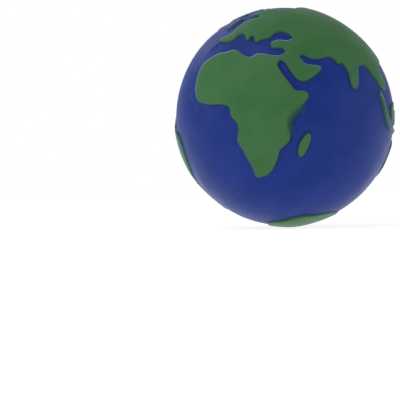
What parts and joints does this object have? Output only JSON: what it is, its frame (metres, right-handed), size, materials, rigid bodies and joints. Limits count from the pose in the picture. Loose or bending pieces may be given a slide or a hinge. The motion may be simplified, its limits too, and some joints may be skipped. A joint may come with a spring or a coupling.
{
  "type": "stress ball",
  "caption": "Palm-sized squeeze ball of soft foam, moulded as a globe with raised green land on a blue sea.",
  "frame": {"origin": "centre of the ball", "axes": "+Z through the north pole, +X through longitude 0 on the equator, +Y through longitude 90 east"},
  "size_m": [0.0691, 0.069, 0.0697],
  "materials": {
    "sea_paint": "satin flexible paint on foam skin",
    "land_paint": "satin flexible paint on raised land",
    "foam": "matte open-cell polyurethane foam"
  },
  "bodies": {
    "root": {"foam_core": "foam", "ocean_skin": "sea_paint", "afro_eurasia": "land_paint", "americas": "land_paint", "antarctica": "land_paint", "australia": "land_paint", "greenland": "land_paint", "madagascar": "land_paint", "british_isles": "land_paint", "iceland": "land_paint", "borneo": "land_paint", "sumatra_java": "land_paint", "sulawesi": "land_paint", "new_guinea": "land_paint", "new_zealand": "land_paint", "cuba": "land_paint", "hispaniola": "land_paint", "baffin_island": "land_paint", "ellesmere_island": "land_paint", "victoria_island": "land_paint", "newfoundland": "land_paint"}
  },
  "joints": []
}
